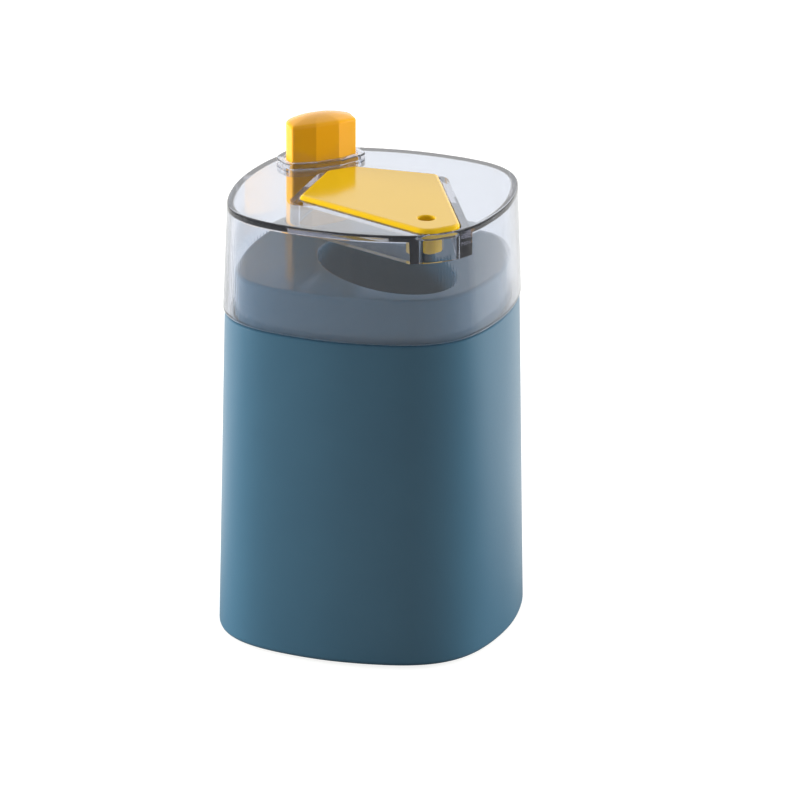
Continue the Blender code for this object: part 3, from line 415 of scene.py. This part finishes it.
BUTTON_TOP_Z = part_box("push_button")[1].z
BUTTON_FOOT_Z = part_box("push_button")[0].z
BUTTON_DOME_FALL = 1.6 * MM
BUTTON_DOME_REACH = np.array([4.4, 8.3]) * MM
BUTTON_DOME_SHARES = np.linspace(0.95, 0.01, 14)
BUTTON_EDGE_ROUND = 0.5 * MM
BUTTON_WALL = 1.4 * MM
BUTTON_CEILING_CHAMFER = 0.7 * MM
BUTTON_CREASE_DEGREES = 50
AMBER_DARK = "#ECA71A"
AMBER_LIGHT = "#F0AB1E"
AMBER_ROUGHNESS = 0.16
GLOSS_GRAIN = 0.6 * MM
GLOSS_DEPTH = 0.003 * MM
AMBER_IOR = 1.55


def domed(ring, height=0.0):
    """Puts a ring at a height over the dome.

    The dome is the top less BUTTON_DOME_FALL times the squared distance from the middle, counted in
    BUTTON_DOME_REACH along and across the diagonal.
    """
    ring = ring.copy()
    reach = np.stack([(ring[:, :2] - rod_place) @ ALONG, ring[:, :2] @ ACROSS], -1) / BUTTON_DOME_REACH
    ring[:, 2] = BUTTON_TOP_Z - BUTTON_DOME_FALL * (reach ** 2).sum(1) + height
    return ring


# Gloss ABS in amber: deep in the facets toward the eye, and paler on the dome, which mirrors the room.
# The mould's polish is finer than a pixel, so it is drawn as faint waves 0.6 mm wide.
amber_gloss = moulded_plastic("abs_amber_gloss", AMBER_DARK, AMBER_LIGHT, AMBER_ROUGHNESS, GLOSS_GRAIN,
                              GLOSS_DEPTH, ior=AMBER_IOR)

button_rings = [carried(button_outline, [(0, BUTTON_FOOT_Z)])[0]]
for inset, height in arc((BUTTON_EDGE_ROUND, -BUTTON_EDGE_ROUND), BUTTON_EDGE_ROUND, 180, 90, steps=5):
    rim = carried(button_outline, [(inset, 0)])[0]
    button_rings.append(domed(rim, height))
for share in BUTTON_DOME_SHARES:
    button_rings.append(domed(np.array([*rod_place, 0]) * (1 - share) + rim * share))
button = piece("button_cap", np.stack(button_rings), amber_gloss, crease=BUTTON_CREASE_DEGREES)

ceiling_z = BUTTON_TOP_Z - BUTTON_WALL
hollow_profile = [(BUTTON_WALL, BUTTON_FOOT_Z - OVERRUN), (BUTTON_WALL, ceiling_z - BUTTON_CEILING_CHAMFER)]
hollow_profile += [(BUTTON_WALL + BUTTON_CEILING_CHAMFER, ceiling_z)]
hollow = piece("hollow", carried(button_outline, hollow_profile))
shaped(button, [hollow], "DIFFERENCE", crease=BUTTON_CREASE_DEGREES)
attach(button, "plunger")
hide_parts("push_button")


# Outlet plate: a kite-shaped slab of the button's gloss ABS, snapped into a recess of the lid.
# One toothpick rises through the hole near its nose, guided by a boss with a funnel below.

OUTLET_TOP_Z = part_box("outlet_plate")[1].z
OUTLET_FOOT_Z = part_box("outlet_plate")[0].z
OUTLET_THICK = 1.8 * MM
OUTLET_ROUND = 0.8 * MM
OUTLET_CORNERS_MM = [(29.6, 4.0), (-1.8, 15.7), (-14.1, 3.2)]
OUTLET_RADII_MM = [3.4, 1.2, 2.0]
OUTLET_HOLE_RADIUS = 1.7 * MM
OUTLET_HOLE_ROUND = 0.3 * MM
OUTLET_BOSS_RADIUS = 3.2 * MM
OUTLET_FUNNEL_DEPTH = 1.6 * MM
OUTLET_FUNNEL_GROWTH = 0.6 * MM
# Both shades are the button's plastic, painted paler and yellower as painted light from above.
PLATE_TOPLIT_DARK = "#E0B41A"
PLATE_TOPLIT_LIGHT = "#E4B81E"
YELLOW_ROUGHNESS = 0.12
YELLOW_IOR = 1.33


def outlet_outline(inset):
    """The plate's kite outline, smaller by its inset."""
    return rounded_outline(OUTLET_CORNERS_MM, OUTLET_RADII_MM, -inset)


# The button's gloss ABS, its colour painted paler and yellower: painted light from above on the plate.
# The flat top mirrors the pale room as a cream veil, with a deeper patch by the button.
# Its IOR is set below that of ABS, because the real plate's veil is fainter than the full IOR gives.
toplit_plate_gloss = moulded_plastic("abs_yellow_painted_toplit", PLATE_TOPLIT_DARK, PLATE_TOPLIT_LIGHT, YELLOW_ROUGHNESS, GLOSS_GRAIN,
                               GLOSS_DEPTH, ior=YELLOW_IOR)

outlet_under_z = OUTLET_TOP_Z - OUTLET_THICK
outlet_profile = [(0, outlet_under_z)]
outlet_profile += arc((OUTLET_ROUND, OUTLET_TOP_Z - OUTLET_ROUND), OUTLET_ROUND, 180, 90, steps=6)
outlet = piece("outlet_cover", carried(outlet_outline, outlet_profile), toplit_plate_gloss)
boss = upright("boss", circle(lifter_place, OUTLET_BOSS_RADIUS), OUTLET_FOOT_Z, OUTLET_TOP_Z - OUTLET_ROUND)
shaped(outlet, [boss], "UNION")

funnel_foot = -OUTLET_FUNNEL_GROWTH * (1 + OVERRUN / OUTLET_FUNNEL_DEPTH)
hole_profile = [(funnel_foot, OUTLET_FOOT_Z - OVERRUN), (0, OUTLET_FOOT_Z + OUTLET_FUNNEL_DEPTH)]
hole_profile += arc((-OUTLET_HOLE_ROUND, OUTLET_TOP_Z - OUTLET_HOLE_ROUND), OUTLET_HOLE_ROUND, 0, 90, steps=4)
hole_profile += [(-OUTLET_HOLE_ROUND, OUTLET_TOP_Z + OVERRUN)]
hole = piece("hole", carried(circle(lifter_place, OUTLET_HOLE_RADIUS), hole_profile))
shaped(outlet, [hole], "DIFFERENCE")
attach(outlet, "lid")
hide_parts("outlet_plate")


# Lid: one moulding of polished clear styrene with a light smoke tint, lifted off to fill the well.
# A pocket under the outlet plate and a lipped sleeve round the button are moulded in one with it.

LID_FOOT_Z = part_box("lid_shell")[0].z
LIP_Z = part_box("lid_shell")[1].z
LIP_HEIGHT = 0.9 * MM
RIM_Z = LIP_Z - LIP_HEIGHT
LID_FOOT_INSET = 1.1 * MM
LID_TOP_INSET = 2.0 * MM
LID_WALL = 1.2 * MM
LID_TOP_THICK = 1.5 * MM
LID_ROUND = 0.5 * MM
LID_INNER_ROUND = 0.25 * MM
LID_FOOT_ROUND = 0.45 * MM
POCKET_DEPTH = 6.0 * MM
POCKET_WALL = 1.7 * MM
POCKET_LEDGE = 0.9 * MM
LIP_WALL = 1.4 * MM
LIP_ROUND = 0.3 * MM
SLEEVE_GAP = 0.5 * MM
SLEEVE_DEPTH = 2.8 * MM
SMOKE_SKIN = "#E5E9F0"
SMOKE_TINT = "#C8C5CB"
SMOKE_SHADOW = "#EDEFF2"
SMOKE_CLEAR_SHARE = 0.982
SMOKE_DENSITY = 95.0
SMOKE_IOR = 1.5
FLOW_LENGTH = 9 * MM
FLOW_DEPTH = 0.01 * MM
FLOW_STRENGTH = 0.3

# Clear styrene, polished: pale and see-through face on, and dark along its edges, where more of it is looked
# through. A small share of the skin scatters light, and shadow rays pass, so that the lamps shine through it.
# The density is per metre. The moulding's flow waves, about 9 mm long, dent it slightly.
smoke, tree, out = new_material("styrene_smoke_clear")
place = put(tree, "ShaderNodeTexCoord").outputs["Object"]
flow = put(tree, "ShaderNodeTexNoise", {"Vector": place, "Scale": 1 / FLOW_LENGTH, "Detail": 1.0})
dent = put(tree, "ShaderNodeBump",
           {"Height": flow.outputs["Fac"], "Distance": FLOW_DEPTH, "Strength": FLOW_STRENGTH})
clear = put(tree, "ShaderNodeBsdfPrincipled",
            {"Base Color": linear(SMOKE_SKIN), "IOR": SMOKE_IOR, "Roughness": 0.0,
             "Transmission Weight": SMOKE_CLEAR_SHARE, "Normal": dent.outputs["Normal"]})
open_way = put(tree, "ShaderNodeBsdfTransparent", {"Color": linear(SMOKE_SHADOW)})
rays = put(tree, "ShaderNodeLightPath")
both = put(tree, "ShaderNodeMixShader",
           {0: rays.outputs["Is Shadow Ray"], 1: clear.outputs["BSDF"], 2: open_way.outputs["BSDF"]})
soak = put(tree, "ShaderNodeVolumeAbsorption", {"Color": linear(SMOKE_TINT), "Density": SMOKE_DENSITY})
tree.links.new(both.outputs["Shader"], out.inputs["Surface"])
tree.links.new(soak.outputs["Volume"], out.inputs["Volume"])

inner_corner = (LID_TOP_INSET + LID_WALL + LID_INNER_ROUND, RIM_Z - LID_TOP_THICK - LID_INNER_ROUND)
foot_corner = (LID_FOOT_INSET + LID_FOOT_ROUND, LID_FOOT_Z + LID_FOOT_ROUND)
lid_profile = arc(inner_corner, LID_INNER_ROUND, 90, 180, steps=6)
lid_profile += [(LID_FOOT_INSET + LID_WALL, LID_FOOT_Z)]
lid_profile += arc(foot_corner, LID_FOOT_ROUND, 270, 180, steps=3)
lid_profile += arc((LID_TOP_INSET + LID_ROUND, RIM_Z - LID_ROUND), LID_ROUND, 180, 90, steps=10)
lid = piece("lid_clear", carried(square, lid_profile), smoke)

pocket_foot_z = RIM_Z - POCKET_DEPTH
pocket = upright("pocket", outlet_outline, pocket_foot_z, RIM_Z - LID_TOP_THICK / 2, -SEAT_GAP - POCKET_WALL)
shaped(pocket, [upright("bound", square, LID_FOOT_Z, RIM_Z, LID_TOP_INSET + SEAT_GAP)], "INTERSECT")
sleeve_inset = -SLEEVE_GAP - LIP_WALL
sleeve_foot_z = RIM_Z - SLEEVE_DEPTH
sleeve_profile = [(sleeve_inset, sleeve_foot_z)]
sleeve_profile += arc((LIP_ROUND + sleeve_inset, LIP_Z - LIP_ROUND), LIP_ROUND, 180, 90, steps=4)
sleeve = piece("sleeve", carried(button_outline, sleeve_profile))
shaped(lid, [pocket, sleeve], "UNION")

recess = upright("recess", outlet_outline, outlet_under_z - SEAT_GAP, LIP_Z, -SEAT_GAP)
drop = upright("drop", outlet_outline, pocket_foot_z - OVERRUN, LIP_Z, POCKET_LEDGE - SEAT_GAP)
button_hole = upright("button_hole", button_outline, sleeve_foot_z - OVERRUN, LIP_Z + OVERRUN, -SLEEVE_GAP)
shaped(lid, [recess, drop, button_hole], "DIFFERENCE")
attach(lid, "lid")
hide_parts("lid_shell")


# Push rod, rocker lever and lifter pin: the moving pieces inside, moulded in natural white acetal.
# The rod tips the rocker, whose far end lifts the pin through the well's floor. The model's own nodes stay.

ACETAL_DARK = "#DAD9D4"
ACETAL_LIGHT = "#E2E1DC"
ACETAL_ROUGHNESS = 0.35
ACETAL_GRAIN = 0.5 * MM
ACETAL_DEPTH = 0.004 * MM


def finish_nodes(slot, finish):
    """Gives the model's own shown nodes of a material slot their finish."""
    for row in frame["record"]["subparts"]:
        node = frame["nodes"][row["node"]]
        if row["material_slot"] == slot and not node.hide_render:
            node.data.materials.clear()
            node.data.materials.append(finish)


# Acetal, moulded: a waxy off-white with a soft half gloss.
white_acetal = moulded_plastic("acetal_natural", ACETAL_DARK, ACETAL_LIGHT, ACETAL_ROUGHNESS, ACETAL_GRAIN,
                               ACETAL_DEPTH)
finish_nodes("white_plastic", white_acetal)


# Pins, return spring and base screws: bright steel. The pins are cut from drawn wire and pressed in, the
# spring is wound from it, and four screws drive up into the hopper's posts. The model's own nodes stay.

STEEL_DARK = "#B4B4B7"
STEEL_LIGHT = "#C9C9CB"
STEEL_LEAST_ROUGHNESS = 0.2
STEEL_MOST_ROUGHNESS = 0.325
DRAW_MARK_LENGTH = 0.4 * MM

# Steel, drawn: bright and cool, with fine marks that break up its gloss.
# Real draw marks are hundredths of a millimetre wide. They are drawn at 0.4 mm, so that they show.
bright_steel, tree, out = new_material("steel_drawn_bright")
place = put(tree, "ShaderNodeTexCoord").outputs["Object"]
marks = put(tree, "ShaderNodeTexNoise", {"Vector": place, "Scale": 1 / DRAW_MARK_LENGTH, "Detail": 3.0})
shade = put(tree, "ShaderNodeMix",
            {"Factor": marks.outputs["Fac"], "A": linear(STEEL_DARK), "B": linear(STEEL_LIGHT)},
            data_type="RGBA")
gloss = put(tree, "ShaderNodeMapRange",
            {"Value": marks.outputs["Fac"], "To Min": STEEL_LEAST_ROUGHNESS, "To Max": STEEL_MOST_ROUGHNESS})
metal = put(tree, "ShaderNodeBsdfPrincipled",
            {"Base Color": shade.outputs["Result"], "Metallic": 1.0, "Roughness": gloss.outputs["Result"]})
tree.links.new(metal.outputs["BSDF"], out.inputs["Surface"])
finish_nodes("steel", bright_steel)


# Base plate and foot pads: the plate is moulded in the body's blue ABS and closes the body from below.
# Four round pads of matt rubber sit in its pockets. The model's own nodes stay.

RUBBER_DARK = "#1E1E1F"
RUBBER_LIGHT = "#262627"
RUBBER_ROUGHNESS = 0.75
RUBBER_GRAIN = 0.4 * MM
RUBBER_DEPTH = 0.02 * MM

# Rubber, moulded: near black and matt, with a fine grain.
dark_rubber = moulded_plastic("rubber_matt", RUBBER_DARK, RUBBER_LIGHT, RUBBER_ROUGHNESS, RUBBER_GRAIN,
                              RUBBER_DEPTH)
finish_nodes("blue_plastic", blue_satin)
finish_nodes("rubber", dark_rubber)


# Camera: it stands where the photograph was taken from, level but for a slight roll.
# It looks along one direction from its stand point, so a step across or up moves the frame without a tilt.

CAMERA_TURN = math.radians(17.0)
CAMERA_RISE = math.radians(20.0)
CAMERA_ROLL = math.radians(0.285)
CAMERA_DISTANCE = 1200.0 * MM
CAMERA_ACROSS = 5.56 * MM
CAMERA_UP = 43.41 * MM
CAMERA_FAR_LIMIT = 20.0
LENS_MM = 262.94
SENSOR_MM = 36.0


def direction(turn, rise):
    """Unit vector from the object toward a place seen at this azimuth and height, both in radians."""
    return Vector((math.sin(turn) * math.cos(rise), -math.cos(turn) * math.cos(rise), math.sin(rise)))


back = direction(CAMERA_TURN, CAMERA_RISE)
level = Vector((math.cos(CAMERA_TURN), math.sin(CAMERA_TURN), 0))
plumb = back.cross(level)
stand_point = CAMERA_DISTANCE * back + CAMERA_ACROSS * level + CAMERA_UP * plumb
right = math.cos(CAMERA_ROLL) * level + math.sin(CAMERA_ROLL) * plumb
aim = Matrix((right, back.cross(right), back)).transposed().to_4x4()
camera = bpy.data.objects.new("camera", bpy.data.cameras.new("camera"))
camera.data.lens = LENS_MM
camera.data.sensor_width = SENSOR_MM
camera.data.clip_end = CAMERA_FAR_LIMIT
bpy.context.scene.collection.objects.link(camera)
camera.matrix_world = Matrix.Translation(stand_point) @ aim
bpy.context.scene.camera = camera


# Lamps: a wide low softbox on either side, a little behind the object, which gives the pale bands there.
# They don't show in mirrored or clear surfaces, where the room and the floor do that work.

BOX_RISE = math.radians(3)
BOX_DISTANCE = 1.0
BOX_WIDTH = 0.9
BOX_HEIGHT = 0.45
LEFT_TURN = math.radians(-105)
RIGHT_TURN = math.radians(112)
LEFT_WATTS = 31.0
RIGHT_WATTS = 22.0


def softbox(name, turn, watts):
    """A rectangle lamp facing the object's seam, placed by its turn round from the camera."""
    lamp = bpy.data.lights.new(name, "AREA")
    lamp.shape = "RECTANGLE"
    lamp.size = BOX_WIDTH
    lamp.size_y = BOX_HEIGHT
    lamp.energy = watts
    holder = bpy.data.objects.new(name, lamp)
    bpy.context.scene.collection.objects.link(holder)
    holder.visible_glossy = False
    holder.visible_transmission = False
    outward = direction(CAMERA_TURN + turn, BOX_RISE)
    stand = Matrix.Translation(outward * BOX_DISTANCE + Vector((0, 0, SEAM_Z)))
    holder.matrix_world = stand @ outward.to_track_quat("Z", "Y").to_matrix().to_4x4()


softbox("softbox_left", LEFT_TURN, LEFT_WATTS)
softbox("softbox_right", RIGHT_TURN, RIGHT_WATTS)


# Floor: a pale paper sweep that looks white, also through the lid, and lights the object as mid grey.
# Mirrored, it glows just in front of the object, which lights the body's foot, and is dark behind it.

FLOOR_Z = -0.05 * MM
FLOOR_HALF = 6.0
PAPER_GREY = "#9A9A98"
PAPER_WHITE = "#FFFFFE"
PAPER_SEEN_GLOW = 0.84
PAPER_MIRRORED_GLOW = 0.62
PAPER_GLOW_FROM = -0.07
PAPER_GLOW_TO = 0.01


def ray_kinds(tree):
    """Two sockets: 1 for a ray from the camera or through the clear lid, and 1 for a mirrored ray."""
    rays = put(tree, "ShaderNodeLightPath")
    seen = put(tree, "ShaderNodeMath",
               {0: rays.outputs["Is Camera Ray"], 1: rays.outputs["Is Transmission Ray"]},
               operation="MAXIMUM")
    return seen.outputs["Value"], rays.outputs["Is Glossy Ray"]


floor_corners = [(x * FLOOR_HALF, y * FLOOR_HALF, FLOOR_Z) for x, y in ((-1, -1), (1, -1), (1, 1), (-1, 1))]
floor_mesh = bpy.data.meshes.new("floor")
floor_mesh.from_pydata(floor_corners, [], [(0, 1, 2, 3)])
floor = bpy.data.objects.new("floor", floor_mesh)
bpy.context.scene.collection.objects.link(floor)

# Matt paper: it keeps the object's faint shadow, and the glow lifts it to white.
paper, tree, out = new_material("paper_sweep")
seen, mirrored = ray_kinds(tree)
ahead = put(tree, "ShaderNodeVectorMath",
            {0: put(tree, "ShaderNodeTexCoord").outputs["Object"], 1: direction(CAMERA_TURN, 0)},
            operation="DOT_PRODUCT")
fading = put(tree, "ShaderNodeMapRange",
             {"Value": ahead.outputs["Value"], "From Min": PAPER_GLOW_FROM, "From Max": PAPER_GLOW_TO,
              "To Min": PAPER_MIRRORED_GLOW, "To Max": 0.0})
reflected = put(tree, "ShaderNodeMath", {0: mirrored, 1: fading.outputs["Result"]}, operation="MULTIPLY")
strength = put(tree, "ShaderNodeMix", {"Factor": seen, "A": reflected.outputs["Value"], "B": PAPER_SEEN_GLOW})
matt = put(tree, "ShaderNodeBsdfDiffuse", {"Color": linear(PAPER_GREY)})
glow = put(tree, "ShaderNodeEmission", {"Color": linear(PAPER_WHITE), "Strength": strength.outputs["Result"]})
lit = put(tree, "ShaderNodeAddShader", {0: matt.outputs["BSDF"], 1: glow.outputs["Emission"]})
tree.links.new(lit.outputs["Shader"], out.inputs["Surface"])
floor_mesh.materials.append(paper)


# Room: an even pale world that shows as white. Mirrored surfaces see it bright above and behind the object,
# where the deck and the plate mirror it, and dark below and in front, which deepens the body's middle.

ROOM_WHITE = "#FFFFFF"
ROOM_SEEN = 1.0
ROOM_FILL = 0.67
ROOM_BRIGHT = 1.55
ROOM_DARK = 0.12
ROOM_DARK_SIDE = direction(CAMERA_TURN, math.radians(-28))
ROOM_BRIGHT_AT = -1.0
ROOM_DARK_AT = -0.3

world = bpy.data.worlds.new("studio")
bpy.context.scene.world = world
world.use_nodes = True
tree = world.node_tree
tree.nodes.clear()
seen, mirrored = ray_kinds(tree)
toward = put(tree, "ShaderNodeVectorMath",
             {0: put(tree, "ShaderNodeTexCoord").outputs["Generated"], 1: ROOM_DARK_SIDE},
             operation="DOT_PRODUCT")
reflected = put(tree, "ShaderNodeMapRange",
                {"Value": toward.outputs["Value"], "From Min": ROOM_BRIGHT_AT, "From Max": ROOM_DARK_AT,
                 "To Min": ROOM_BRIGHT, "To Max": ROOM_DARK})
unseen = put(tree, "ShaderNodeMix", {"Factor": mirrored, "A": ROOM_FILL, "B": reflected.outputs["Result"]})
strength = put(tree, "ShaderNodeMix", {"Factor": seen, "A": unseen.outputs["Result"], "B": ROOM_SEEN})
sky = put(tree, "ShaderNodeBackground", {"Color": linear(ROOM_WHITE), "Strength": strength.outputs["Result"]})
out = put(tree, "ShaderNodeOutputWorld")
tree.links.new(sky.outputs["Background"], out.inputs["Surface"])

bpy.context.scene.view_settings.view_transform = "Standard"
